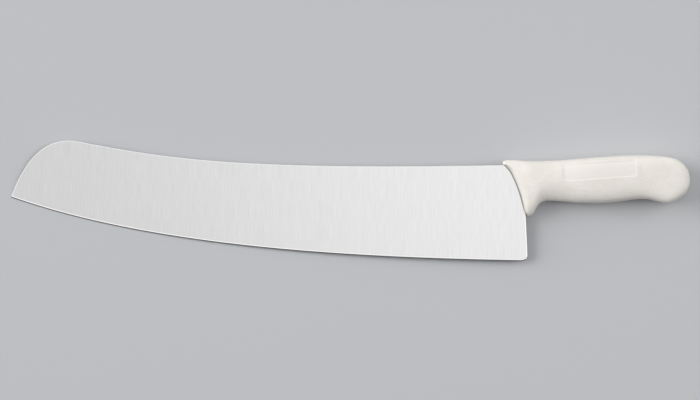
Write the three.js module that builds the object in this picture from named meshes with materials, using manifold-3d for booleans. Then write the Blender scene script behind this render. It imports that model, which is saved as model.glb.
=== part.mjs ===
// Pizza knife: a long blade with a curved edge, ground thinner towards that edge, and a handle
// moulded round its tang.
//
// The knife is drawn on the flat of its blade, in millimetres and degrees. x runs from the tip to
// the butt, y from the cutting edge to the spine, and z out of the flat. x = 0 is the back of the
// heel, y = 0 is the spine where it enters the handle, and z = 0 is the middle of the steel.
// The finished knife is then laid on its side, as it lies on a board.

import * as THREE from "three";
import { ConvexHull } from "three/addons/math/ConvexHull.js";
import { mergeVertices } from "three/addons/utils/BufferGeometryUtils.js";
import Module from "manifold-3d";

const wasm = await Module();
wasm.setup();

// Blade outline. A slope is a curve's angle at one end, and a reach is how far it holds that angle.
const BLADE_LENGTH = 457;
const HEEL_WIDTH = 85.3;
const HEEL_RADIUS = 6.5;
const HEEL_LEAN = 3.8;
const TIP_DROP = 29;
const TIP_BLUNT = 1.7;
const EDGE_TIP_SLOPE = -19.4;
const EDGE_TIP_REACH = 129;
const EDGE_HEEL_SLOPE = -1;
const EDGE_HEEL_REACH = 164;
const NOSE_LENGTH = 66.5;
const NOSE_HEIGHT = 19.1;
const NOSE_TIP_SLOPE = 69.1;
const NOSE_TIP_REACH = 64.3;
const NOSE_TOP_REACH = 12.3;
const SPINE_NOSE_SLOPE = -10.6;
const SPINE_NOSE_REACH = 80.6;
const SPINE_HEEL_SLOPE = 1.2;
const SPINE_HEEL_REACH = 243;

// Blade section
const STOCK = 2.4;
const EDGE_STOCK = 0.8;
const BEVEL_SLOPE = 13;
const BEVEL_TOOL = 5;
const EDGE_LAND = 0.1;
const EASED_CORNER = 0.35;

// Tang, inside the handle
const TANG_DROP = 6;
const TANG_WIDTH = 19;
const TANG_TAPER = 2.5;
const TANG_COVER = 45;
const SHOULDER_RADIUS = 2;
const TANG_FILLET = 4;
const TANG_END_RADIUS = 6;
const TANG_HOLES = 3;
const TANG_HOLE_RADIUS = 3.5;
const TANG_HOLE_MARGIN = 15;
const MOULD_GAP = 0.3;

// Handle: its front, where it meets the blade, and its guard
const FRONT_TOP = 21.5;
const FRONT_FOOT = 2.7;
const FRONT_HOLLOW = 3.65;
const FRONT_ROUND = 8;
const FRONT_CORNER = 1.6;
const FRONT_LIP = 2.6;
const GUARD_DROP = 45.8;
const GUARD_TIP = 4.2;
const GUARD_CORNER = 1.7;
const GUARD_BACK_AT = 8.2;
const GUARD_BACK_DROP = 36.6;
const GUARD_HALF = 10.8;

// Handle: the stations behind the guard. A rise and a drop are measured from the spine's level.
const FRONT_RISE = 4.25;
const WAIST_RISE = 3.55;
const NOTCH_AT = 16.5;
const NOTCH_DROP = 32.2;
const NOTCH_HALF = 9.2;
const PALM_AT = 53;
const PALM_RISE = 6.1;
const PALM_DROP = 34.3;
const PALM_HALF = 12.9;
const GRIP_AT = 78;
const GRIP_RISE = 8;
const GRIP_DROP = 33.2;
const GRIP_HALF = 12.7;
const NECK_FROM_END = 40;
const NECK_RISE = 8.6;
const NECK_DROP = 30.5;
const NECK_HALF = 12.3;
const BUTT_AT = 143.2;
const BUTT_FROM_END = 22.5;
const BUTT_RISE = 7.5;
const BUTT_DROP = 34;
const BUTT_HALF = 13.2;
const SECTION_POWER = 2.5;

// Sunk panel on one side of the handle
const PANEL_AT = 63;
const PANEL_DROP = 5.4;
const PANEL_LENGTH = 65;
const PANEL_HEIGHT = 15;
const PANEL_CORNER = 2;
const PANEL_TILT = 3.9;
const PANEL_DEPTH = 0.5;

// Densities in grams per cubic millimetre, for the way the knife lies
const STEEL_DENSITY = 0.00785;
const PLASTIC_DENSITY = 0.0011;

// Fineness of the curved surfaces
const CURVE_STEPS = 20;
const RING_POINTS = 32;
const STATION_STEPS = 4;
const SAME_POINT = 1e-5;

const radians = THREE.MathUtils.degToRad;

function toSolid(geometry) {
  const bare = geometry.clone();
  bare.deleteAttribute("normal");
  bare.deleteAttribute("uv");
  const merged = mergeVertices(bare, SAME_POINT);
  const vertProperties = new Float32Array(merged.attributes.position.array);
  const triVerts = new Uint32Array(merged.index.array);
  return new wasm.Manifold(new wasm.Mesh({ numProp: 3, vertProperties, triVerts }));
}

function toGeometry(solid) {
  const { vertProperties, triVerts } = solid.getMesh();
  const geometry = new THREE.BufferGeometry();
  geometry.setAttribute("position", new THREE.Float32BufferAttribute(vertProperties, 3));
  geometry.setIndex(Array.from(triVerts));
  geometry.computeVertexNormals();
  return geometry;
}

// A curve that leaves `start` at one angle and arrives at `end` at another
function fairCurve(start, startSlope, startReach, end, endSlope, endReach) {
  const lead = new THREE.Vector2(startReach, 0).rotateAround(new THREE.Vector2(), radians(startSlope));
  const trail = new THREE.Vector2(endReach, 0).rotateAround(new THREE.Vector2(), radians(endSlope));
  return new THREE.CubicBezierCurve(start, start.clone().add(lead), end.clone().sub(trail), end);
}

function addCurve(shape, curve) {
  const { v1, v2, v3 } = curve;
  shape.bezierCurveTo(v1.x, v1.y, v2.x, v2.y, v3.x, v3.y);
}

function addLine(shape, end) {
  if (shape.currentPoint.distanceTo(end) > SAME_POINT) shape.lineTo(end.x, end.y);
}

// Lines from `start` through the corners [x, y, radius] to `end`, each corner rounded
function addCorners(shape, start, corners, end) {
  const stops = [start, ...corners.map(([x, y]) => new THREE.Vector2(x, y)), end];
  corners.forEach(([x, y, radius], i) => {
    const corner = stops[i + 1];
    const before = stops[i].clone().sub(corner).setLength(radius).add(corner);
    const after = stops[i + 2].clone().sub(corner).setLength(radius).add(corner);
    addLine(shape, before);
    shape.quadraticCurveTo(x, y, after.x, after.y);
  });
  addLine(shape, end);
}

const tip = new THREE.Vector2(-BLADE_LENGTH, -TIP_DROP);
const tipTop = new THREE.Vector2(-BLADE_LENGTH, -TIP_DROP + TIP_BLUNT);
const noseTop = new THREE.Vector2(-BLADE_LENGTH + NOSE_LENGTH, NOSE_HEIGHT);
const spineEnd = new THREE.Vector2(-HEEL_LEAN - SHOULDER_RADIUS, 0);
const heelFoot = new THREE.Vector2(-HEEL_RADIUS, -HEEL_WIDTH);
const nose = fairCurve(tipTop, NOSE_TIP_SLOPE, NOSE_TIP_REACH, noseTop, SPINE_NOSE_SLOPE, NOSE_TOP_REACH);
const spine = fairCurve(
  noseTop, SPINE_NOSE_SLOPE, SPINE_NOSE_REACH, spineEnd, SPINE_HEEL_SLOPE, SPINE_HEEL_REACH);
const edge = fairCurve(
  heelFoot, EDGE_HEEL_SLOPE + 180, EDGE_HEEL_REACH, tip, EDGE_TIP_SLOPE + 180, EDGE_TIP_REACH);

const tangEnd = BUTT_AT - TANG_COVER;

// The grind thins the steel evenly from the spine's end to the belly, square to the line of the edge
const edgeRun = heelFoot.clone().sub(tip).angle();
const belowSpine = (point) => -point.clone().rotateAround(spineEnd, -edgeRun).sub(spineEnd).y;
const bellyDepth = Math.max(...edge.getPoints(CURVE_STEPS).map(belowSpine));
const grindSlope = Math.atan2((STOCK - EDGE_STOCK) / 2, bellyDepth);

// Outline of the whole blank, blade and tang in one, let out by a clearance where the handle grips it
function blankShape(clearance) {
  const top = spineEnd.y + clearance;
  const tangTop = -TANG_DROP + clearance;
  const tangFoot = -TANG_DROP - TANG_WIDTH - clearance;
  const shoulder = -HEEL_LEAN + clearance;
  const heelAtTang = HEEL_LEAN * (-tangFoot / HEEL_WIDTH - 1) + clearance;
  const end = tangEnd + clearance;

  const shape = new THREE.Shape();
  shape.moveTo(tip.x, tip.y);
  shape.lineTo(tipTop.x, tipTop.y);
  addCurve(shape, nose);
  addCurve(shape, spine);
  addCorners(shape, spineEnd, [
    [shoulder, top, SHOULDER_RADIUS],
    [shoulder, tangTop, SHOULDER_RADIUS],
    [end, tangTop - TANG_TAPER, TANG_END_RADIUS],
    [end, tangFoot + TANG_TAPER, TANG_END_RADIUS],
    [heelAtTang, tangFoot, TANG_FILLET],
    [clearance, -HEEL_WIDTH, HEEL_RADIUS],
  ], heelFoot);
  addCurve(shape, edge);

  const first = TANG_HOLE_MARGIN;
  const pitch = (tangEnd - 2 * TANG_HOLE_MARGIN) / (TANG_HOLES - 1);
  for (let i = 0; i < TANG_HOLES; i++) {
    const hole = new THREE.Path();
    const middle = -TANG_DROP - TANG_WIDTH / 2;
    hole.absarc(first + i * pitch, middle, TANG_HOLE_RADIUS - clearance, 0, 2 * Math.PI);
    shape.holes.push(hole);
  }
  return shape;
}

// The flat that a grinder takes off one side of the blade, which leaves the tang at its full thickness
function taperGrind(side, clearance) {
  const size = 3 * BLADE_LENGTH;
  const wheel = new THREE.BoxGeometry(size, size, 2 * STOCK)
    .translate(0, 0, side * STOCK)
    .rotateX(side * grindSlope)
    .rotateZ(edgeRun)
    .translate(spineEnd.x, spineEnd.y, side * (STOCK / 2 + clearance));
  const tangStop = new THREE.BoxGeometry(size, size, size).translate(size / 2 - clearance, 0, 0);
  return toSolid(wheel).subtract(toSolid(tangStop));
}

function makeBlank(clearance) {
  const plate = new THREE.ExtrudeGeometry(blankShape(clearance), {
    depth: STOCK + 2 * clearance - 2 * EASED_CORNER,
    bevelThickness: EASED_CORNER,
    bevelSize: EASED_CORNER,
    bevelOffset: -EASED_CORNER,
    bevelSegments: 1,
    curveSegments: CURVE_STEPS,
  }).translate(0, 0, EASED_CORNER - STOCK / 2 - clearance);
  return toSolid(plate).subtract(taperGrind(1, clearance)).subtract(taperGrind(-1, clearance));
}

// The cutting edge's path, run on a little past the tip and the heel
class EdgeRun extends THREE.Curve {
  getPoint(t, target = new THREE.Vector3()) {
    const pastTip = BEVEL_TOOL / (3 * EDGE_TIP_REACH);
    const pastHeel = (HEEL_RADIUS + BEVEL_TOOL) / (3 * EDGE_HEEL_REACH);
    const { x, y } = edge.getPoint(THREE.MathUtils.lerp(1 + pastTip, -pastHeel, t));
    return target.set(x, y, 0);
  }
}

// What a whetstone takes off one side of the cutting edge. Along the path, the section's own y points
// into the blade and its own x points to minus z.
function edgeBevel(side) {
  const rise = BEVEL_TOOL * Math.tan(radians(BEVEL_SLOPE));
  const section = new THREE.Shape([
    new THREE.Vector2(-side * (EDGE_LAND / 2 - rise), -BEVEL_TOOL),
    new THREE.Vector2(-side * (EDGE_LAND / 2 + rise), BEVEL_TOOL),
    new THREE.Vector2(-side * (STOCK + rise), BEVEL_TOOL),
    new THREE.Vector2(-side * (STOCK + rise), -BEVEL_TOOL),
  ]);
  return toSolid(new THREE.ExtrudeGeometry(section, {
    extrudePath: new EdgeRun(),
    steps: 2 * CURVE_STEPS,
    bevelEnabled: false,
  }));
}

// Stations of the handle: the top and the bottom of its outline, half its thickness between them, and
// how far the station's middle is hollowed back. The front and the butt are rounded by quarter turns.
function handleStations() {
  const stations = [];
  for (const turn of [0, 30, 60, 90]) {
    const out = Math.sin(radians(turn));
    const back = 1 - Math.cos(radians(turn));
    stations.push({
      top: [-FRONT_TOP + FRONT_ROUND * back, FRONT_RISE - FRONT_CORNER * (1 - out)],
      bottom: [-FRONT_FOOT + GUARD_TIP * back, -GUARD_DROP + GUARD_CORNER * (1 - out)],
      half: FRONT_LIP + (GUARD_HALF - FRONT_LIP) * out,
      hollow: FRONT_HOLLOW,
    });
  }
  const neckAt = BUTT_AT - NECK_FROM_END;
  const lobeAt = BUTT_AT - BUTT_FROM_END;
  stations.push(
    {
      top: [0, WAIST_RISE],
      bottom: [GUARD_BACK_AT, -GUARD_BACK_DROP],
      half: GUARD_HALF,
      hollow: FRONT_HOLLOW / 2,
    },
    { top: [NOTCH_AT, WAIST_RISE], bottom: [NOTCH_AT, -NOTCH_DROP], half: NOTCH_HALF, hollow: 0 },
    { top: [PALM_AT, PALM_RISE], bottom: [PALM_AT, -PALM_DROP], half: PALM_HALF, hollow: 0 },
    { top: [GRIP_AT, GRIP_RISE], bottom: [GRIP_AT, -GRIP_DROP], half: GRIP_HALF, hollow: 0 },
    { top: [neckAt, NECK_RISE], bottom: [neckAt, -NECK_DROP], half: NECK_HALF, hollow: 0 },
    { top: [lobeAt, BUTT_RISE], bottom: [lobeAt, -BUTT_DROP], half: BUTT_HALF, hollow: 0 },
  );
  const buttMiddle = (BUTT_RISE - BUTT_DROP) / 2;
  const buttHeight = (BUTT_RISE + BUTT_DROP) / 2;
  for (const turn of [37, 66]) {
    const x = lobeAt + BUTT_FROM_END * Math.sin(radians(turn));
    const share = Math.cos(radians(turn));
    stations.push({
      top: [x, buttMiddle + buttHeight * share],
      bottom: [x, buttMiddle - buttHeight * share],
      half: BUTT_HALF * share,
      hollow: 0,
    });
  }
  return stations;
}

// The handle's outer skin, lofted over its stations to a round butt, with its sides drawn in by `inset`
function handleSkin(inset) {
  const stations = handleStations();
  const butt = new THREE.Vector3(BUTT_AT, (BUTT_RISE - BUTT_DROP) / 2, 0);
  const tops = stations.map(({ top: [x, y] }) => new THREE.Vector3(x, y, 0));
  const bottoms = stations.map(({ bottom: [x, y] }) => new THREE.Vector3(x, y, 0));
  const flanks = stations.map(({ half, hollow }, i) => {
    const middle = tops[i].clone().add(bottoms[i]).divideScalar(2);
    return middle.setX(middle.x + hollow).setZ(half);
  });
  const mirrored = flanks.map(({ x, y, z }) => new THREE.Vector3(x, y, -z));
  const outline = new THREE.CatmullRomCurve3([...tops, butt, ...bottoms.reverse()]);
  const flank = new THREE.CatmullRomCurve3([...flanks, butt, ...mirrored.reverse()]);

  const rings = stations.length * STATION_STEPS;
  const positions = [];
  for (let i = 0; i < rings; i++) {
    const along = i / rings / 2;
    const top = outline.getPoint(along);
    const bottom = outline.getPoint(1 - along);
    const side = flank.getPoint(along);
    const pull = side.clone().multiplyScalar(2).sub(top.clone().add(bottom).divideScalar(2)).setZ(0);
    const sheet = new THREE.QuadraticBezierCurve3(top, pull, bottom);
    for (let j = 0; j < RING_POINTS; j++) {
      const angle = (j / RING_POINTS) * 2 * Math.PI;
      const round = (value) => Math.sign(value) * Math.abs(value) ** (2 / SECTION_POWER);
      const point = sheet.getPoint((1 - round(Math.cos(angle))) / 2);
      const half = Math.max(side.z - inset, side.z / 2);
      positions.push(point.x, point.y, half * round(Math.sin(angle)));
    }
  }
  positions.push(butt.x, butt.y, butt.z);

  const faces = [];
  for (let i = 0; i < rings - 1; i++) {
    for (let j = 0; j < RING_POINTS; j++) {
      const next = (j + 1) % RING_POINTS;
      const a = i * RING_POINTS + j;
      const b = i * RING_POINTS + next;
      faces.push(a, b, a + RING_POINTS, b, b + RING_POINTS, a + RING_POINTS);
    }
  }
  const last = (rings - 1) * RING_POINTS;
  for (let j = 0; j < RING_POINTS; j++) {
    faces.push(last + j, last + ((j + 1) % RING_POINTS), last + RING_POINTS);
  }
  for (let j = 0; j < RING_POINTS / 2; j++) {
    const far = (RING_POINTS - j) % RING_POINTS;
    const below = RING_POINTS - j - 1;
    if (j > 0) faces.push(j, far, j + 1);
    if (j + 1 < below) faces.push(far, below, j + 1);
  }
  const skin = new THREE.BufferGeometry();
  skin.setAttribute("position", new THREE.Float32BufferAttribute(positions, 3));
  skin.setIndex(faces);
  return toSolid(skin);
}

// The shallow sunk panel, whose floor follows the handle's side
function panelPocket() {
  const reach = PANEL_LENGTH / 2;
  const rise = PANEL_HEIGHT / 2;
  const shape = new THREE.Shape();
  shape.moveTo(0, rise);
  addCorners(shape, new THREE.Vector2(0, rise), [
    [-reach, rise, PANEL_CORNER],
    [-reach, -rise, PANEL_CORNER],
    [reach, -rise, PANEL_CORNER],
    [reach, rise, PANEL_CORNER],
  ], new THREE.Vector2(0, rise));
  const depth = 2 * PALM_HALF;
  const block = new THREE.ExtrudeGeometry(shape, { depth, bevelEnabled: false, curveSegments: 4 })
    .rotateZ(radians(PANEL_TILT))
    .translate(PANEL_AT, -PANEL_DROP, 0);
  return toSolid(block).subtract(handleSkin(PANEL_DEPTH));
}

function blade() {
  const solid = makeBlank(0).subtract(edgeBevel(1)).subtract(edgeBevel(-1));
  const steel = new THREE.MeshStandardMaterial({ color: 0xd4d5d6, roughness: 0.35, metalness: 1 });
  const mesh = new THREE.Mesh(toGeometry(solid), steel);
  mesh.name = "blade";
  return mesh;
}

function handle() {
  const solid = handleSkin(0).subtract(panelPocket()).subtract(makeBlank(MOULD_GAP));
  const plastic = new THREE.MeshStandardMaterial({ color: 0xf0ede8, roughness: 0.5, metalness: 0 });
  const mesh = new THREE.Mesh(toGeometry(solid), plastic);
  mesh.name = "handle";
  return mesh;
}

// Mass of a closed mesh, and its mass times its centre
function massMoment(mesh, density) {
  const { position } = mesh.geometry.attributes;
  const index = mesh.geometry.index.array;
  const moment = new THREE.Vector3();
  let mass = 0;
  for (let i = 0; i < index.length; i += 3) {
    const [a, b, c] = [0, 1, 2].map((k) => new THREE.Vector3().fromBufferAttribute(position, index[i + k]));
    const share = (density * a.dot(b.clone().cross(c))) / 6;
    mass += share;
    moment.addScaledVector(a.add(b).add(c), share / 4);
  }
  return { mass, moment };
}

// The knife lies on the face of its convex hull that is nearest to its centre of mass, on the side
// away from the panel: a spot of the handle's flank and a spot of the cutting edge
function layDown(knife, bladeMesh, handleMesh) {
  const steel = massMoment(bladeMesh, STEEL_DENSITY);
  const plastic = massMoment(handleMesh, PLASTIC_DENSITY);
  const centre = steel.moment.add(plastic.moment).divideScalar(steel.mass + plastic.mass);
  const underFaces = new ConvexHull().setFromObject(knife).faces.filter((face) => face.normal.z < 0);
  const depth = (face) => -face.distanceToPoint(centre);
  const underFace = underFaces.reduce((lowest, face) => (depth(face) < depth(lowest) ? face : lowest));
  knife.quaternion.setFromUnitVectors(underFace.normal, new THREE.Vector3(0, 0, -1));
  const box = new THREE.Box3().setFromObject(knife, true);
  const middle = box.getCenter(new THREE.Vector3());
  knife.position.set(-middle.x, -middle.y, -box.min.z);
}

const bladeMesh = blade();
const handleMesh = handle();
const knife = new THREE.Group();
knife.add(bladeMesh, handleMesh);
layDown(knife, bladeMesh, handleMesh);

export default knife;
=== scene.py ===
# %% [markdown]
# # A pizza knife, modelled on a level drawing and laid on its side
#
# The knife has two pieces: a long rocking blade of stainless steel, and a white handle that is moulded
# round its tang. The solids of both are loaded first, as a fixed frame. They have the right size, but
# flat facets and no finish, so each gets a finer piece that takes its place.
#
# The knife rests on the thickest part of its handle and on its edge, so the blade lies a few degrees out of
# level. Modelling on a tilted blade would be awkward. Each piece is drawn level instead, with x from the
# tip to the butt, y from the edge to the spine and z out of the flat, and one matrix lays it down at the
# end. The origin of the drawing is on the spine's level, above the back of the heel.

import math

import bmesh
import bpy
from mathutils import Matrix, Vector


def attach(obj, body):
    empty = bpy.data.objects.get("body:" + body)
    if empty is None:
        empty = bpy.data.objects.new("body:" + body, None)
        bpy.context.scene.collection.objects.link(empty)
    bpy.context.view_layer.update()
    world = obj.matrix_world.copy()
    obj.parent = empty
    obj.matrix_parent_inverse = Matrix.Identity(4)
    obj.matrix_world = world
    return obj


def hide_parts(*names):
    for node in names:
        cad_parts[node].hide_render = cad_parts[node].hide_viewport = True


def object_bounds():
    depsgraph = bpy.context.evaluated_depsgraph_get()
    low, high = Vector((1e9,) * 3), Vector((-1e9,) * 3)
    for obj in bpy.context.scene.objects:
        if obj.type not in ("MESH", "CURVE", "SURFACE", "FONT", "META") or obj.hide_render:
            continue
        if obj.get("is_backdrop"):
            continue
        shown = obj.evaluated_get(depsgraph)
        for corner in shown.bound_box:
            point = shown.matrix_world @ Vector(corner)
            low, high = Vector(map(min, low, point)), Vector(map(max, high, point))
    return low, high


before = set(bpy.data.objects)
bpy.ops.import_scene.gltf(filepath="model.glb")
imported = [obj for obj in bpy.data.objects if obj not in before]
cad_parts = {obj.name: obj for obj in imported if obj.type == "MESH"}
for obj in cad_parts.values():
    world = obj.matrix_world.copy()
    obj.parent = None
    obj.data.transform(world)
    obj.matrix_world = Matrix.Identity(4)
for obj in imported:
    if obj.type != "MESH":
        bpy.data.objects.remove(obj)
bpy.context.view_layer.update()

MM = 0.001
BLADE_LENGTH = 457 * MM
HEEL_WIDTH = 85.3 * MM
FACES_UP = 0.9


def is_flat(face):
    return abs(face.normal.z) > FACES_UP


steel_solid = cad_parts["blade"].data
blade_up = Vector()
for face in filter(is_flat, steel_solid.polygons):
    blade_up += face.normal * math.copysign(face.area, face.normal.z)
tilt = Vector((0, 0, 1)).rotation_difference(blade_up).to_matrix().to_4x4()

level = [tilt.inverted() @ corner.co for corner in steel_solid.vertices]
tip_at = min(point.x for point in level)
foot_at = min(point.y for point in level)
middle_at = (min(point.z for point in level) + max(point.z for point in level)) / 2
drawing_origin = Vector((tip_at + BLADE_LENGTH, foot_at + HEEL_WIDTH, middle_at))
lay_down = tilt @ Matrix.Translation(drawing_origin)
print("blade out of level by", round(math.degrees(tilt.to_quaternion().angle), 2), "degrees")

# %% [markdown]
# ## Camera
#
# The photograph looks straight at the flat of the blade. In the drawing that is straight down z, so the
# camera's matrix is the lay-down matrix with a shift: a camera looks along its own minus z. A long lens
# from far away keeps the near handle from growing, as in a catalogue photograph. The scale is fixed by
# the blade, whose length is known in millimetres and in pixels.

# %% Camera straight above the flat
PHOTO_WIDTH = 700
PHOTO_HEIGHT = 400
ORIGIN_PIXEL = (527.8, 164.6)
BLADE_PIXELS = 516.4
LENS = 150
SENSOR = 36

pixel = BLADE_LENGTH / BLADE_PIXELS
shift = Vector((PHOTO_WIDTH / 2 - ORIGIN_PIXEL[0], ORIGIN_PIXEL[1] - PHOTO_HEIGHT / 2, 0)) * pixel
shift.z = LENS / SENSOR * PHOTO_WIDTH * pixel

bpy.ops.object.camera_add()
camera = bpy.context.object
camera.data.lens = LENS
camera.data.sensor_width = SENSOR
camera.matrix_world = lay_down @ Matrix.Translation(shift)
bpy.context.scene.camera = camera
print("camera", round(shift.z, 3), "m above the flat,", round(pixel / MM, 3), "mm to a pixel")

# %% [markdown]
# ## The blade's outline
#
# The blade is punched from sheet, so it starts as an outline. A Bézier curve suits it: a long spine, a
# blunt clipped nose and one sweeping edge are each a single stretch between two points. Each point has two
# control handles, and their angles and lengths say how the curve comes in and goes out. Tracing the outline
# with many short lines would be slower and would show corners. `lean` turns an angle and a length into the
# way from a point to the end of its control handle.

# %% Place the points of the outline
NOSE_LENGTH = 66.5 * MM
NOSE_HEIGHT = 19.1 * MM
TIP_DROP = 29 * MM
TIP_BLUNT = 1.7 * MM
HEEL_LEAN = 3.8 * MM
HEEL_RADIUS = 6.5 * MM
HEEL_BOW = 2 / 3

# The angle in degrees and the length in millimetres of each long control handle
EDGE_AT_TIP = (-19.4, 129)
EDGE_AT_HEEL = (179, 164)
NOSE_AT_TIP = (69.1, 64.3)
NOSE_AT_TOP = (-10.6, 12.3)
SPINE_AT_NOSE = (-10.6, 80.6)
SPINE_AT_HEEL = (1.2, 245)


def lean(degrees, reach):
    angle = math.radians(degrees)
    return Vector((math.cos(angle), math.sin(angle), 0)) * reach * MM


tip = Vector((-BLADE_LENGTH, -TIP_DROP, 0))
tip_top = tip + Vector((0, TIP_BLUNT, 0))
nose_top = Vector((-BLADE_LENGTH + NOSE_LENGTH, NOSE_HEIGHT, 0))
spine_end = Vector((-HEEL_LEAN, 0, 0))
heel_corner = Vector((0, -HEEL_WIDTH, 0))
heel_back = heel_corner + (spine_end - heel_corner).normalized() * HEEL_RADIUS
heel_foot = heel_corner - Vector((HEEL_RADIUS, 0, 0))

# Each point with its control handles, the one that it is reached by and the one that it is left by
straight = None
outline = [
    (tip, tip + lean(*EDGE_AT_TIP), straight),
    (tip_top, straight, tip_top + lean(*NOSE_AT_TIP)),
    (nose_top, nose_top - lean(*NOSE_AT_TOP), nose_top + lean(*SPINE_AT_NOSE)),
    (spine_end, spine_end - lean(*SPINE_AT_HEEL), straight),
    (heel_back, straight, heel_back.lerp(heel_corner, HEEL_BOW)),
    (heel_foot, heel_foot.lerp(heel_corner, HEEL_BOW), heel_foot + lean(*EDGE_AT_HEEL)),
]
print(len(outline), "points, the top of the nose", round(NOSE_HEIGHT / MM, 1), "mm above the heel's spine")

# %% Draw the outline
CURVE_STEPS = 48

bpy.ops.object.select_all(action="DESELECT")
bpy.ops.curve.primitive_bezier_curve_add()
blade = bpy.context.object
blade.name = "ground_blade"
blade.data.dimensions = "2D"
blade.data.fill_mode = "NONE"
spline = blade.data.splines[0]
spline.use_cyclic_u = True
spline.resolution_u = CURVE_STEPS
spline.bezier_points.add(len(outline) - len(spline.bezier_points))
for point, (place, reached_by, left_by) in zip(spline.bezier_points, outline):
    point.co = place
    point.handle_left_type = "FREE" if reached_by else "VECTOR"
    point.handle_right_type = "FREE" if left_by else "VECTOR"
    point.handle_left = reached_by or place
    point.handle_right = left_by or place
bpy.ops.object.convert(target="MESH")
print("outline of", len(blade.data.vertices), "points")

# %% [markdown]
# ## Thickness and grind
#
# Filled and extruded, the outline is a plate. A grinder then takes both sides down evenly, from the full
# stock at the spine to a third of it at the belly of the edge. Two cuts with Bisect do the same in one
# stroke each: a tilted plane goes through the plate, what lies outside it goes, and the cut is filled.
# Moving the edge's vertices closer together instead would bend the sides, and a ground flat has to be
# truly flat to reflect evenly.

# %% Extrude the plate and grind both sides
STOCK = 2.4 * MM
EDGE_STOCK = 0.8 * MM
ROUGH_STOCK = 4 * MM
EXACT = 1e-7

bpy.ops.object.mode_set(mode="EDIT")
bpy.ops.mesh.select_all(action="SELECT")
bpy.ops.mesh.remove_doubles(threshold=EXACT)
bpy.ops.mesh.edge_face_add()
bpy.ops.mesh.extrude_region_move(TRANSFORM_OT_translate={"value": (0, 0, ROUGH_STOCK)})
bpy.ops.mesh.select_all(action="SELECT")
bpy.ops.transform.translate(value=(0, 0, -ROUGH_STOCK / 2))
bpy.ops.mesh.normals_make_consistent(inside=False)

across = (heel_foot - tip).cross(Vector((0, 0, 1))).normalized()
depth = max((corner.co - spine_end).dot(across) for corner in blade.data.vertices)
fall = (STOCK - EDGE_STOCK) / 2 / depth
for side in (1, -1):
    bpy.ops.mesh.select_all(action="SELECT")
    bpy.ops.mesh.bisect(
        plane_co=(spine_end.x, spine_end.y, side * STOCK / 2),
        plane_no=(across.x * fall, across.y * fall, side),
        threshold=EXACT,
        use_fill=True,
        clear_outer=True,
    )
print("blade", round(depth / MM, 1), "mm deep, each side ground off level by",
      round(math.degrees(math.atan(fall)), 2), "degrees")

# %% [markdown]
# ## Sharpened edge and eased spine
#
# A whetstone leaves a narrow bevel on both sides of the cutting edge. Inset draws its shoulder, a line
# that keeps its distance from the outline, and then the wall of the edge is squeezed flat, so the strip
# outside the shoulder becomes the bevel. A Bevel operator would round the edge off instead. It is right
# for the other corners: along the spine, the nose and the back of the heel they are eased, so that they
# don't bite the hand, and that thin polished round is what draws a white line along the blade. The blade
# thins towards the nose, so the round is given in per cent of the wall. A width in millimetres that suits
# the spine would overlap itself at the tip.
#
# Working by hand, you click on the faces that an operator should act on. A script picks them by where
# they are or which way they face. `select_where` does that in edit mode and says how many it found.

# %% Pick the flats
def select_where(piece, kind, wanted):
    """In edit mode, select the vertices, edges or faces of a piece that `wanted` picks."""
    bpy.ops.mesh.select_mode(type=kind)
    bpy.ops.mesh.select_all(action="DESELECT")
    shape = bmesh.from_edit_mesh(piece.data)
    shape.normal_update()
    items = {"VERT": shape.verts, "EDGE": shape.edges, "FACE": shape.faces}[kind]
    found = [item for item in items if wanted(item)]
    for item in found:
        item.select_set(True)
    bmesh.update_edit_mesh(piece.data)
    return len(found)


flats = select_where(blade, "FACE", is_flat)
print(flats, "flat faces picked")

# %% Sharpen the edge, ease the other corners
BEVEL_WIDTH = 1.6 * MM
EDGE_LAND = 0.1 * MM
RIM_SHARE = 48
RIM_STEPS = 4
CUTTING_SIDE = 0.5


def is_cutting_wall(face):
    return not is_flat(face) and face.normal.y < -CUTTING_SIDE


def is_blunt_rim(rim):
    walls = [face for face in rim.link_faces if not is_flat(face)]
    thick = all(abs(end.co.z) > EDGE_LAND for end in rim.verts)
    return thick and len(walls) == 1 and not is_cutting_wall(walls[0])


bpy.ops.mesh.inset(thickness=BEVEL_WIDTH)
edge_faces = select_where(blade, "FACE", is_cutting_wall)
bpy.ops.transform.resize(value=(1, 1, EDGE_LAND / EDGE_STOCK), center_override=(0, 0, 0))
rims = select_where(blade, "EDGE", is_blunt_rim)
bpy.ops.mesh.bevel(
    offset_type="PERCENT", offset_pct=RIM_SHARE, segments=RIM_STEPS, affect="EDGES", clamp_overlap=False
)
print("edge squeezed along", edge_faces, "faces,", rims, "rim edges eased")

# %% [markdown]
# ## Two finishes on one blade
#
# The flats keep the scratches of the grinder, and everything else is polished, so the blade gets two
# materials. Smooth shading has to round off the rims and leave the flats alone, because a flat that is
# shaded as if it were bent shows a false crease. The border of the flats is therefore marked sharp.

# %% Give the blade its two steels
GROUND_FLAT = 0.999


def is_ground(face):
    return abs(face.normal.z) > GROUND_FLAT


ground_steel = bpy.data.materials.new("ground_stainless_steel")
polished_steel = bpy.data.materials.new("polished_stainless_steel")
blade.data.materials.append(ground_steel)
blade.data.materials.append(polished_steel)
select_where(blade, "FACE", is_ground)
bpy.ops.mesh.region_to_loop()
bpy.ops.mesh.mark_sharp()
polished = select_where(blade, "FACE", lambda face: not is_ground(face))
blade.active_material_index = 1
bpy.ops.object.material_slot_assign()
bpy.ops.object.mode_set(mode="OBJECT")
print(polished, "of", len(blade.data.polygons), "faces polished")
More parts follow.
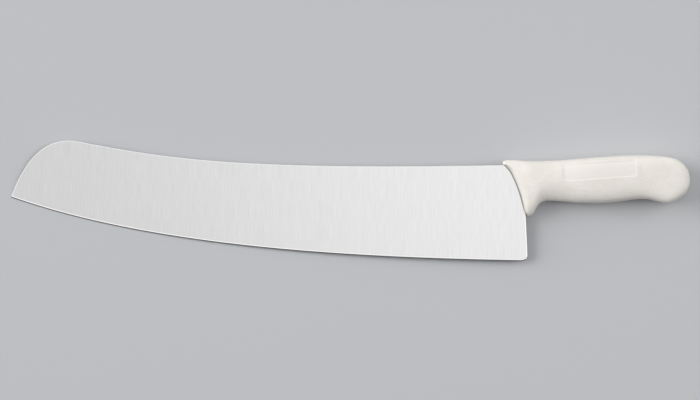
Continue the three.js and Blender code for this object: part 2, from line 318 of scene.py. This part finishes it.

# %% [markdown]
# ## Painted shade along the edge
#
# The very edge of the blade gets a painted shade: a dark grey on its outer bevel draws a dark line where
# shade falls along the cutting edge. A number on each vertex tells the shader where: 1 along the edge,
# and less round the corner of the heel.
#
# That finishes the blade. `hand_over` does the last steps that both pieces share: it lays the piece down,
# applies its place to the mesh so that the object stays at the origin, and tells the frame what the piece
# stands for.

# %% Mark the painted shade along the edge and lay the blade down
EDGE_SHADE_FADE = 0.25
SMOOTH_BELOW = math.radians(30)


def hand_over(piece, node):
    piece.matrix_world = lay_down
    bpy.ops.object.transform_apply()
    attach(piece, "root")
    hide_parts(node)
    print(piece.name, len(piece.data.polygons), "faces, for the solid", node)


# The mark says where the painted shade along the cutting edge goes
edge_shade_mark = blade.data.attributes.new("painted_edge_shade", "FLOAT", "POINT")
for face in filter(is_cutting_wall, blade.data.polygons):
    for index in face.vertices:
        edge_shade_mark.data[index].value = min((-face.normal.y - CUTTING_SIDE) / EDGE_SHADE_FADE, 1)
bpy.ops.object.shade_smooth_by_angle(angle=SMOOTH_BELOW)
hand_over(blade, "blade")

# %% [markdown]
# ## The handle's stations
#
# The handle is one moulding: a flared guard that closes over the blade, a waist for the first finger, a
# full palm, a neck and a round butt. Such a form is drawn as stations, like the frames of a boat: the
# top and the bottom of the outline there, and half the thickness between them. Boolean unions of simple
# solids would leave creases where one part runs into the next.
#
# The stations of the grip are a short list. Those of the guard stand close together and follow a curve: it
# swells fast at the blade and then more and more slowly up to the waist. In front of them, a thin ring
# seats on the blade. Those of the butt follow a quarter circle.

# %% Stations of the grip
# Top x and y, bottom x and y and half the thickness, in millimetres, and how square the section is: 2 for
# an oval, more for flat sides with tight corners
grip = [
    (-7.5, 3.95, 4.6, -43.3, 8.9, 2.4),
    (0, 3.55, 8.2, -37.2, 10.05, 2.8),
    (14, 3.5, 15.5, -32.5, 10.9, 2),
    (33, 4.4, 33, -33, 11.5, 2.1),
    (53, 6.1, 53, -34.3, 12.9, 2.7),
    (78, 8, 78, -33.2, 12.7, 2.8),
    (103.2, 8.6, 103.2, -30.5, 12.4, 3.3),
]
print(len(grip), "stations along the grip")

# %% Stations of the guard
FRONT_TOP = -20.9
FRONT_FOOT = -2.7
FRONT_RISE = 4.25
FRONT_CORNER = 1.1
FRONT_LIP = 2.2
FRONT_CURVE = 1.8
FRONT_SQUARE = 2.25
SEAT_HALF = 0.9
SEAT_SLOPE = 0.9
SHOULDER = 30
GUARD_DROP = -45.5
GUARD_TIP = 4.2
GUARD_CORNER = 2.4
GUARD_HALF = 10.6
GUARD_DEPTH = 11

# How far behind the front each station stands, and how tightly the two corners are rounded
BEHIND_FRONT = (0, 0.7, 2.2, 4.5, 7.5, GUARD_DEPTH)
TOP_TIGHT = 8
TIP_TIGHT = 4

seat_top = FRONT_TOP - SEAT_SLOPE
seat_foot = FRONT_FOOT - SEAT_SLOPE
guard = [(
    seat_top, FRONT_RISE - FRONT_CORNER, seat_foot, GUARD_DROP + GUARD_CORNER, SEAT_HALF, FRONT_SQUARE,
)]
for behind in BEHIND_FRONT:
    share = behind / GUARD_DEPTH
    top_corner = FRONT_CORNER * (1 - share) ** TOP_TIGHT
    tip_corner = GUARD_CORNER * (1 - share) ** TIP_TIGHT
    swell = (1 - (1 - behind / SHOULDER) ** FRONT_CURVE) ** (1 / FRONT_CURVE)
    guard.append((
        FRONT_TOP + behind, FRONT_RISE - top_corner,
        FRONT_FOOT + GUARD_TIP * share, GUARD_DROP + tip_corner,
        FRONT_LIP + (GUARD_HALF - FRONT_LIP) * swell, FRONT_SQUARE,
    ))
print(len(guard), "stations in the guard,", round(2 * guard[-1][4], 1), "mm thick at the last")

# %% Stations of the butt
LOBE_AT = 120.7
LOBE_SWELL = 0.3
LOBE_SQUARE = 4.4
BUTT_AT = 143.1
BUTT_RISE = 7.5
BUTT_DROP = -34
BUTT_HALF = 12.75
BUTT_BLUNT = 3
BUTT_DEGREES = (30, 56, 76, 88)
END_SQUARE = 2.6

axis_height = (BUTT_RISE + BUTT_DROP) / 2
butt = [(LOBE_AT, BUTT_RISE, LOBE_AT, BUTT_DROP, BUTT_HALF - LOBE_SWELL, LOBE_SQUARE)]
for degrees in BUTT_DEGREES:
    at = LOBE_AT + (BUTT_AT - LOBE_AT) * math.sin(math.radians(degrees))
    share = math.cos(math.radians(degrees))
    half_height = (BUTT_RISE - BUTT_DROP) / 2 * share
    half = BUTT_HALF * (1 - (1 - share) ** BUTT_BLUNT)
    squareness = END_SQUARE + (LOBE_SQUARE - END_SQUARE) * share
    butt.append((at, axis_height + half_height, at, axis_height - half_height, half, squareness))

stations = [Vector(station) for station in guard + grip + butt]
print(len(stations), "stations from the guard to the butt")

# %% [markdown]
# ## From stations to a cage
#
# A Subdivision Surface will make the skin smooth. It pulls each ring of the cage towards its neighbours,
# so that it passes a sixth of the bend inside. Left alone, the handle would come out thinner than its
# stations. The cage is therefore pushed out by as much, ring by ring, until the smooth skin goes through
# the stations. Each pass gets closer, and eight are plenty.

# %% Push the cage out
PASSES = 8

cage = list(stations)
for _ in range(PASSES):
    for i in range(1, len(cage) - 1):
        cage[i] = (6 * stations[i] - cage[i - 1] - cage[i + 1]) / 4
rings = []
for top_x, top_y, bottom_x, bottom_y, half, squareness in cage:
    spread = Vector((top_x - bottom_x, top_y - bottom_y)) * MM
    rings.append({
        "middle": Vector((top_x + bottom_x, top_y + bottom_y, 0)) / 2 * MM,
        "lean": math.atan2(-spread.x, spread.y),
        "height": spread.length / 2,
        "half": half * MM,
        "squareness": squareness,
    })
print("largest push", round(max((a - b).length for a, b in zip(cage, stations)), 2), "mm")

# %% [markdown]
# ## Extrude the handle ring by ring
#
# The first ring is a circle on edge. It is fitted to the first station, which makes it an oval, and is
# then extruded from station to station. Each time, the new ring is moved on, turned upright, scaled to the
# next height and thickness and leaned over again. Bridging separate rings would give the same skin, but
# then each ring's points would have to be matched up.

# %% Extrude the cage
RING_POINTS = 28


def turn_ring(angle, middle):
    bpy.ops.transform.rotate(value=-angle, orient_axis="Z", center_override=middle)


bpy.ops.object.select_all(action="DESELECT")
bpy.ops.mesh.primitive_circle_add(
    vertices=RING_POINTS, radius=1, fill_type="NGON", rotation=(0, math.pi / 2, 0)
)
handle = bpy.context.object
handle.name = "moulded_handle"
bpy.ops.object.transform_apply()
bpy.ops.object.mode_set(mode="EDIT")
bpy.ops.mesh.select_all(action="SELECT")

seat = rings[0]
bpy.ops.transform.resize(value=(1, seat["height"], seat["half"]), center_override=(0, 0, 0))
bpy.ops.transform.translate(value=seat["middle"])
turn_ring(seat["lean"], seat["middle"])
for ring, following in zip(rings, rings[1:]):
    middle = following["middle"]
    bpy.ops.mesh.extrude_region_move(TRANSFORM_OT_translate={"value": middle - ring["middle"]})
    turn_ring(-ring["lean"], middle)
    growth = (1, following["height"] / ring["height"], following["half"] / ring["half"])
    bpy.ops.transform.resize(value=growth, center_override=middle)
    turn_ring(following["lean"], middle)
bpy.ops.mesh.select_all(action="SELECT")
bpy.ops.mesh.normals_make_consistent(inside=False)
print("cage of", len(rings), "rings")

# %% [markdown]
# ## Square the ovals
#
# So far every ring is an oval. On the handle the section changes: an oval at the waist, where the first
# finger goes round it, and flat sides with tight corners at the butt. Scaling can't do that, because it
# keeps an oval an oval. A superellipse can: each point's height and thickness, as shares of the ring's,
# are raised to a power below 1, which moves the points between the axes outwards and leaves the outline
# as it is. That takes a few lines of mesh code, the one change of shape here that no operator makes.

# %% Give each ring its own section
ON_RING = 1e-6

shape = bmesh.from_edit_mesh(handle.data)
for ring in rings:
    turn = Matrix.Rotation(ring["lean"], 3, "Z")
    squared = 0
    for corner in shape.verts:
        offset = turn.inverted() @ (corner.co - ring["middle"])
        if abs(offset.x) < ON_RING:
            for axis, reach in ((1, ring["height"]), (2, ring["half"])):
                share = abs(offset[axis]) / reach
                offset[axis] = math.copysign(reach * share ** (2 / ring["squareness"]), offset[axis])
            corner.co = ring["middle"] + turn @ offset
            squared += 1
    print("ring at", round(ring["middle"].x / MM), "mm has", squared, "points")
bmesh.update_edit_mesh(handle.data)

# %% [markdown]
# ## Hollow the front
#
# Where the handle meets the blade, its front is a hollow curve. Proportional editing makes it from the
# straight front: a few vertices in the middle are pulled back, and their neighbours follow less and less
# up to the corners. The inverse square falloff makes that a round bow, and a sharper falloff would leave
# a dent. The corner above the spine is blunt on the moulding, so the vertices at the height of the spine
# are then pulled forward a little, with a short reach.

# %% Pull the middle of the front back
FRONT_HOLLOW = 3.2 * MM
HOLLOW_REACH = 23 * MM
HOLLOW_CORE = 2 * MM


def is_front_middle(corner):
    behind = corner.co - seat["middle"]
    return abs(behind.y) < HOLLOW_CORE and behind.x < FRONT_HOLLOW


pulled = select_where(handle, "VERT", is_front_middle)
bpy.ops.transform.translate(
    value=(FRONT_HOLLOW, 0, 0),
    use_proportional_edit=True,
    proportional_edit_falloff="INVERSE_SQUARE",
    proportional_size=HOLLOW_REACH,
)
print(pulled, "vertices pulled back")

# %% Blunt the corner above the spine and smooth the skin
CORNER_PULL = 2.2 * MM
CORNER_REACH = 3.5 * MM
CORNER_DEPTH = 5 * MM
CORNER_HEAD = 1.2 * MM
CORNER_FOOT = -2.4 * MM
SKIN_LEVELS = 3


def is_front_corner(corner):
    near_front = corner.co.x < FRONT_TOP * MM + CORNER_DEPTH
    return near_front and CORNER_FOOT < corner.co.y < CORNER_HEAD


pulled = select_where(handle, "VERT", is_front_corner)
bpy.ops.transform.translate(
    value=(-CORNER_PULL, 0, 0),
    use_proportional_edit=True,
    proportional_edit_falloff="SMOOTH",
    proportional_size=CORNER_REACH,
)
bpy.ops.object.mode_set(mode="OBJECT")
bpy.ops.object.modifier_add(type="SUBSURF")
smoothing = handle.modifiers[-1]
smoothing.levels = SKIN_LEVELS
smoothing.render_levels = SKIN_LEVELS
bpy.ops.object.modifier_apply(modifier=smoothing.name)
print(pulled, "vertices pulled forward, skin of", len(handle.data.polygons), "faces")

# %% [markdown]
# ## Sunk panel and parting line
#
# One side of the handle has a shallow sunk panel. A Boolean would cut it with upright walls, which vanish
# when seen from above. On the moulding they slope, and the lower one catches the light. So the skin is
# made finer there, each vertex gets a weight that grows from the panel's border inwards, and a Displace
# modifier pushes the skin in by that weight.
#
# The two halves of the mould meet along the middle of the handle and leave a fine raised line there. The
# vertices of the skin that lie in the middle are pushed out a tenth of a millimetre in the same way.

# %% Weigh the panel
PANEL_MIDDLE = Vector((63, -5.4)) * MM
PANEL_LENGTH = 65 * MM
PANEL_HEIGHT = 15 * MM
PANEL_CORNER = 2 * MM
PANEL_LEAN = math.radians(3.9)
PANEL_WALL = 1 * MM


def inside_panel(place):
    """How far a point lies inside the panel's rounded border, seen from the side."""
    across = place.xy - PANEL_MIDDLE
    across.rotate(Matrix.Rotation(-PANEL_LEAN, 2))
    over = Vector((abs(across.x) - PANEL_LENGTH / 2, abs(across.y) - PANEL_HEIGHT / 2))
    over += Vector((PANEL_CORNER, PANEL_CORNER))
    outside = Vector((max(over.x, 0), max(over.y, 0))).length
    return PANEL_CORNER - outside - min(max(over.x, over.y), 0)


def panel_weight(place):
    """0 outside the panel and on the far side, 1 on its floor, with an eased slope between."""
    share = min(max(inside_panel(place) / PANEL_WALL, 0), 1)
    return share * share * (3 - 2 * share) if place.z > 0 else 0


print("panel of", round(PANEL_LENGTH / MM), "by", round(PANEL_HEIGHT / MM), "mm")

# %% Push in the panel and raise the parting line
PANEL_CUTS = 2
PANEL_DEPTH = 0.5 * MM
PARTING_RISE = 0.1 * MM


def displace(piece, name, weight, distance):
    """Move the skin along its normals by `distance` times the weight of each vertex."""
    group = piece.vertex_groups.new(name=name)
    for corner in piece.data.vertices:
        group.add([corner.index], weight(corner.co), "REPLACE")
    bpy.ops.object.modifier_add(type="DISPLACE")
    push = piece.modifiers[-1]
    push.vertex_group = name
    push.mid_level = 0
    push.strength = distance
    bpy.ops.object.modifier_apply(modifier=push.name)


bpy.ops.object.mode_set(mode="EDIT")
fine = select_where(
    handle, "FACE",
    lambda face: face.normal.z > 0 and inside_panel(face.calc_center_median()) > -PANEL_WALL,
)
bpy.ops.mesh.subdivide(number_cuts=PANEL_CUTS)
bpy.ops.object.mode_set(mode="OBJECT")
smooth_mark = handle.data.attributes.new("panel_smooth", "FLOAT", "POINT")
for corner in handle.data.vertices:
    smooth_mark.data[corner.index].value = panel_weight(corner.co)
displace(handle, "panel", panel_weight, -PANEL_DEPTH)
displace(handle, "parting line", lambda place: float(abs(place.z) < EXACT), PARTING_RISE)
print(fine, "faces made finer,", len(handle.data.polygons), "faces in all")

# %% [markdown]
# ## Painted shade at the blade
#
# Where the front of the handle meets the blade, the plastic gets a painted shade: a grey that darkens the
# joint where shade falls. Like the painted shade on the edge, it becomes a number on each vertex: 1 low on
# the front, where it faces the blade, and fading out up the rounded lip.

# %% Mark the painted seat shade and lay the handle down
SEAT_SHADE_TOP = 5.6 * MM
SEAT_SHADE_FADE = 3.6 * MM
FACES_BLADE = -0.3

# Painted shade low on the front of the handle, where it meets the blade
seat_shade_mark = handle.data.attributes.new("painted_seat_shade", "FLOAT", "POINT")
for corner in handle.data.vertices:
    low = min(max((SEAT_SHADE_TOP - abs(corner.co.z)) / SEAT_SHADE_FADE, 0), 1)
    on_seat = corner.normal.x < FACES_BLADE and corner.co.y < 0
    seat_shade_mark.data[corner.index].value = low ** 2 if on_seat else 0
polypropylene = bpy.data.materials.new("moulded_polypropylene")
handle.data.materials.append(polypropylene)
bpy.ops.object.shade_smooth()
hand_over(handle, "handle")

# %% [markdown]
# ## Materials
#
# A colour picked on a screen is written as a hex code in sRGB, and shaders take linear numbers, so one
# function turns the first into the second. Nodes could be added in the editor by hand. Here one function
# adds a node of any kind with its settings, and where a socket is given another node's output, it links
# the two. Each tree starts empty, so that the lines below show all of it.

# %% Helpers for materials
def linear(code):
    channels = [int(code[i:i + 2], 16) / 255 for i in (1, 3, 5)]
    return [c / 12.92 if c <= 0.04045 else ((c + 0.055) / 1.055) ** 2.4 for c in channels] + [1]


def add_node(tree, kind, sockets, **settings):
    node = tree.nodes.new("ShaderNode" + kind)
    for name, value in settings.items():
        setattr(node, name, value)
    for name, value in sockets.items():
        if isinstance(value, bpy.types.NodeSocket):
            tree.links.new(value, node.inputs[name])
        else:
            node.inputs[name].default_value = value
    return node


def empty_tree(owner):
    owner.use_nodes = True
    owner.node_tree.nodes.clear()
    return owner.node_tree


print("a screen's middle grey is", round(linear("#808080")[0], 3), "in linear light")

# %% [markdown]
# ## Ground stainless steel
#
# A belt grinder runs across the blade, from spine to edge, and leaves short fine scratches that way. They
# spread reflections, so the flats mirror nothing sharp: they take an even silver tone with a faint upright
# streak. A noise that is stretched along the scratches draws that, and a wider one the faint bands that the
# passes of the belt leave. An image of brushed metal would have to come from a file, and an anisotropic
# shader would need a tangent on every face. Real scratches are under a tenth of a millimetre wide, too fine
# to show here, so they are drawn about ten times as coarse.

# %% Ground steel for the flats
SCRATCH_WIDTH = 0.75 * MM
SCRATCH_LENGTH = 18 * MM
SCRATCH_DEPTH = 0.004 * MM
BAND_WIDTH = 5 * MM
BAND_LENGTH = 160 * MM
BAND_SHARE = 0.2
GROUND_ROUGHNESS = (0.32, 0.44)

# A noise runs from 0 to 1 but hardly leaves the middle, so a colour's tones are spread over that part
NOISE_LOW = 0.3
NOISE_HIGH = 0.7

tree = empty_tree(ground_steel)
place = add_node(tree, "TexCoord", {}).outputs["Object"]
along_scratch = add_node(tree, "Mapping", {
    "Vector": place, "Scale": (1 / SCRATCH_WIDTH, 1 / SCRATCH_LENGTH, 0),
}).outputs["Vector"]
along_band = add_node(tree, "Mapping", {
    "Vector": place, "Scale": (1 / BAND_WIDTH, 1 / BAND_LENGTH, 0),
}).outputs["Vector"]
scratch = add_node(tree, "TexNoise", {
    "Vector": along_scratch, "Scale": 1, "Detail": 3, "Roughness": 0.6,
}).outputs["Fac"]
band = add_node(tree, "TexNoise", {"Vector": along_band, "Scale": 1, "Detail": 2}).outputs["Fac"]
grind = add_node(tree, "Mix", {"Factor": BAND_SHARE, "A": scratch, "B": band}).outputs["Result"]
shade = add_node(tree, "MapRange", {"Value": grind, "From Min": NOISE_LOW, "From Max": NOISE_HIGH})
tone = add_node(tree, "Mix", {
    "Factor": shade.outputs["Result"], "A": linear("#D4D4D4"), "B": linear("#E0E0E0"),
}, data_type="RGBA")
blur = add_node(tree, "MapRange", {
    "Value": scratch, "To Min": GROUND_ROUGHNESS[0], "To Max": GROUND_ROUGHNESS[1],
})
relief = add_node(tree, "Bump", {"Height": scratch, "Distance": SCRATCH_DEPTH, "Strength": 1})
shader = add_node(tree, "BsdfPrincipled", {
    "Base Color": tone.outputs["Result"], "Metallic": 1,
    "Roughness": blur.outputs["Result"], "Normal": relief.outputs["Normal"],
})
add_node(tree, "OutputMaterial", {"Surface": shader.outputs["BSDF"]})
print("scratches drawn", SCRATCH_WIDTH / MM, "mm wide")

# %% [markdown]
# ## Polished stainless steel
#
# The eased corners and the sharpened bevel are the last things done to the blade, on a finer stone and a
# buffing wheel. They are brighter and reflect more sharply than the flats, so they read as thin white
# lines. The stone still leaves a fine tooth across the edge, again drawn coarser than it is. The outer half
# of the bevel gets a painted shade: a dark grey that reads as a dark line along the cutting edge.

# %% Polished steel for the rims and the bevel
STONE_LINE = 0.5 * MM
POLISHED_ROUGHNESS = (0.16, 0.24)
EDGE_SHADE_FROM = 0.45
EDGE_SHADE_TO = 0.65

tree = empty_tree(polished_steel)
place = add_node(tree, "TexCoord", {}).outputs["Object"]
across_edge = add_node(tree, "Mapping", {"Vector": place, "Scale": (1 / STONE_LINE, 0, 0)}).outputs["Vector"]
tooth = add_node(tree, "TexNoise", {"Vector": across_edge, "Scale": 1, "Detail": 2}).outputs["Fac"]
shade = add_node(tree, "MapRange", {"Value": tooth, "From Min": NOISE_LOW, "From Max": NOISE_HIGH})
tone = add_node(tree, "Mix", {
    "Factor": shade.outputs["Result"], "A": linear("#F4F4F4"), "B": linear("#FAFAFA"),
}, data_type="RGBA")
# Painted shade: where the edge is marked, the steel is coloured dark grey
edge_shade_weight = add_node(tree, "Attribute", {}, attribute_name="painted_edge_shade").outputs["Fac"]
edge_shade_factor = add_node(tree, "MapRange", {"Value": edge_shade_weight, "From Min": EDGE_SHADE_FROM, "From Max": EDGE_SHADE_TO})
colour = add_node(tree, "Mix", {
    "Factor": edge_shade_factor.outputs["Result"], "A": tone.outputs["Result"], "B": linear("#4E4E4E"),
}, data_type="RGBA")
blur = add_node(tree, "MapRange", {
    "Value": tooth, "To Min": POLISHED_ROUGHNESS[0], "To Max": POLISHED_ROUGHNESS[1],
})
shader = add_node(tree, "BsdfPrincipled", {
    "Base Color": colour.outputs["Result"], "Metallic": 1, "Roughness": blur.outputs["Result"],
})
add_node(tree, "OutputMaterial", {"Surface": shader.outputs["BSDF"]})
print("stone lines drawn", STONE_LINE / MM, "mm apart")

# %% [markdown]
# ## Moulded polypropylene
#
# Natural polypropylene is milky, and with white pigment it comes out a warm off-white with a waxy, half
# matt skin. The mould is spark eroded all over to give grip, which leaves a fine stipple on the plastic,
# and only the panel is polished. The stipple is bump, since its bumps are a few hundredths of a
# millimetre high and modelled ones would take millions of faces. It is half a millimetre wide on the real
# skin and drawn four times as coarse, so that it shows. Its shade is also painted into the colour, darker
# in the pits than on the bumps, and faint clouds in the pigment vary the tone. The polished panel has none
# of the stipple or its painted shade, and looks a little lighter and glossier than the skin around it.
# Low on the front, a grey painted shade darkens the plastic where it meets the blade.

# %% Polypropylene for the handle
STIPPLE = 2 * MM
CLOUD = 12 * MM
PIT_SHADE_SHARE = 0.5
POLYPROPYLENE_IOR = 1.49
SKIN_ROUGHNESS = 0.36
PANEL_ROUGHNESS = 0.3

# The bump's height is that of the noise's whole range, and the noise uses less than half of it
STIPPLE_HEIGHT = 0.3 * MM

tree = empty_tree(polypropylene)
place = add_node(tree, "TexCoord", {}).outputs["Object"]
polish = add_node(tree, "Attribute", {}, attribute_name="panel_smooth").outputs["Fac"]
matt = add_node(tree, "Math", {0: 1.0, 1: polish}, operation="SUBTRACT").outputs["Value"]
stipple = add_node(tree, "TexNoise", {"Vector": place, "Scale": 1 / STIPPLE, "Detail": 2}).outputs["Fac"]
cloud = add_node(tree, "TexNoise", {"Vector": place, "Scale": 1 / CLOUD, "Detail": 3}).outputs["Fac"]
# The stipple's painted shade, darker in its pits, mixed with clouds in the pigment
clouds_and_pit_shade = add_node(tree, "Mix", {"Factor": PIT_SHADE_SHARE, "A": cloud, "B": stipple}).outputs["Result"]
shade = add_node(tree, "MapRange", {"Value": clouds_and_pit_shade, "From Min": NOISE_LOW, "From Max": NOISE_HIGH})
tone = add_node(tree, "Mix", {
    "Factor": shade.outputs["Result"], "A": linear("#EAE5DE"), "B": linear("#F4EFE9"),
}, data_type="RGBA")
colour = add_node(tree, "Mix", {
    "Factor": polish, "A": tone.outputs["Result"], "B": linear("#F1ECE6"),
}, data_type="RGBA")
# Painted shade at the joint with the blade: grey low on the handle's front
seat_shade_factor = add_node(tree, "Attribute", {}, attribute_name="painted_seat_shade").outputs["Fac"]
colour = add_node(tree, "Mix", {
    "Factor": seat_shade_factor, "A": colour.outputs["Result"], "B": linear("#8F8B86"),
}, data_type="RGBA")
relief = add_node(tree, "Bump", {"Height": stipple, "Distance": STIPPLE_HEIGHT, "Strength": matt})
blur = add_node(tree, "MapRange", {"Value": polish, "To Min": SKIN_ROUGHNESS, "To Max": PANEL_ROUGHNESS})
shader = add_node(tree, "BsdfPrincipled", {
    "Base Color": colour.outputs["Result"], "IOR": POLYPROPYLENE_IOR,
    "Roughness": blur.outputs["Result"], "Normal": relief.outputs["Normal"],
})
add_node(tree, "OutputMaterial", {"Surface": shader.outputs["BSDF"]})
print("stipple of", STIPPLE / MM, "mm")

# %% [markdown]
# ## Floor
#
# The knife lies on plain grey paper. White paper would swallow the outline of a white handle, so it is a
# few shades darker. One large plane is enough, with its border far outside every view, and it only has to
# take a soft shadow.

# %% Lay the paper
FLOOR_SIZE = 12
PAPER_ROUGHNESS = 0.9

bpy.ops.object.select_all(action="DESELECT")
bpy.ops.mesh.primitive_plane_add(size=FLOOR_SIZE)
floor = bpy.context.object
floor.name = "floor"
paper = bpy.data.materials.new("pale_paper")
floor.data.materials.append(paper)
tree = empty_tree(paper)
shader = add_node(tree, "BsdfPrincipled", {"Base Color": linear("#C6C8CB"), "Roughness": PAPER_ROUGHNESS})
add_node(tree, "OutputMaterial", {"Surface": shader.outputs["BSDF"]})
floor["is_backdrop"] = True
print("paper", FLOOR_SIZE, "m wide")

# %% [markdown]
# ## Light tent
#
# Polished steel shows whatever stands around it, so knives are photographed in a tent of white cloth. Its
# walls are what the rims mirror, and that makes them white. The camera looks in through an opening at the
# top. The opening is dimmer, and the flats, which face the camera, mirror it and come out darker than the
# rims.
#
# The world draws the tent. Light Path tells it which rays are asking: those from the camera and those that
# a shiny surface reflects see the tent. All others see a faint sky that is brighter behind the spine and
# beyond the tip. Lit by the tent from all sides, the handle would lose its shading.

# %% Put up the tent
SKY_BASE = 0.2
SKY_SLOPE = (-0.1, 0.2, 0)
TENT_WALLS = 1
TENT_TOP = 0.4
OPENING_RIM = math.cos(math.radians(26))
OPENING_CORE = math.cos(math.radians(16))

world = bpy.data.worlds.new("light_tent")
bpy.context.scene.world = world
tree = empty_tree(world)
looking = add_node(tree, "TexCoord", {}).outputs["Generated"]
slope = add_node(tree, "VectorMath", {0: looking, 1: SKY_SLOPE}, operation="DOT_PRODUCT")
sky = add_node(tree, "Math", {0: slope.outputs["Value"], 1: SKY_BASE}, operation="ADD")
upward = add_node(tree, "SeparateXYZ", {"Vector": looking}).outputs["Z"]
tent = add_node(tree, "MapRange", {
    "Value": upward, "From Min": OPENING_RIM, "From Max": OPENING_CORE,
    "To Min": TENT_WALLS, "To Max": TENT_TOP,
})
ray = add_node(tree, "LightPath", {}).outputs
looked_at = add_node(tree, "Math", {0: ray["Is Camera Ray"], 1: ray["Is Glossy Ray"]}, operation="MAXIMUM")
strength = add_node(tree, "Mix", {
    "Factor": looked_at.outputs["Value"], "A": sky.outputs["Value"], "B": tent.outputs["Result"],
})
glow = add_node(tree, "Background", {"Color": (1, 1, 1, 1), "Strength": strength.outputs["Result"]})
add_node(tree, "OutputWorld", {"Surface": glow.outputs["Background"]})
bpy.context.scene.view_settings.view_transform = "Standard"
print("tent walls at", TENT_WALLS, "and its top at", TENT_TOP)

# %% [markdown]
# ## Lamps
#
# All four lamps are large, because the larger a lamp is, the softer its shadows are. Two boxes hang above
# the knife, and the flats show them as a glow that grows from the tip to the heel. Two walls of light stand
# metres away, beyond the tip and beyond the butt, and shade the handle from its ends. Small bright lamps
# close by would do that too, but they would burn a white spot into the paper. Seen from the other end, the
# blade would mirror a wall and turn white all over, so reflections leave the walls out.

# %% Hang the lamps
def add_softbox(name, place, width, height, glow, mirrored):
    """A rectangular lamp that faces the knife. Its glow is the brightness that a mirror would show."""
    bpy.ops.object.light_add(type="AREA", location=place)
    lamp = bpy.context.object
    lamp.name = name
    lamp.data.shape = "RECTANGLE"
    lamp.data.size = width
    lamp.data.size_y = height
    lamp.data.energy = glow * math.pi * width * height
    lamp.rotation_euler = Vector((0, 0, 1)).rotation_difference(Vector(place)).to_euler()
    lamp.visible_glossy = mirrored
    print(name, round(lamp.data.energy, 1), "W")


add_softbox("top_box", place=(0.15, 0, 1.3), width=2, height=0.7, glow=0.45, mirrored=True)
add_softbox("heel_box", place=(0.25, 0, 1.1), width=0.8, height=0.9, glow=0.46, mirrored=True)
add_softbox("tip_wall", place=(-4, 0.8, 1.9), width=4, height=3.2, glow=4.9, mirrored=False)
add_softbox("butt_wall", place=(3.6, 0.9, 2.4), width=3.2, height=3.2, glow=2.6, mirrored=False)

# %% [markdown]
# ## Sizes
#
# The finer pieces must not outgrow the solids that they replace. The box round the finished knife is
# printed in millimetres.

# %% Print the size of the finished knife
low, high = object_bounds()
print("visual box", [round(side / MM, 1) for side in high - low], "mm")
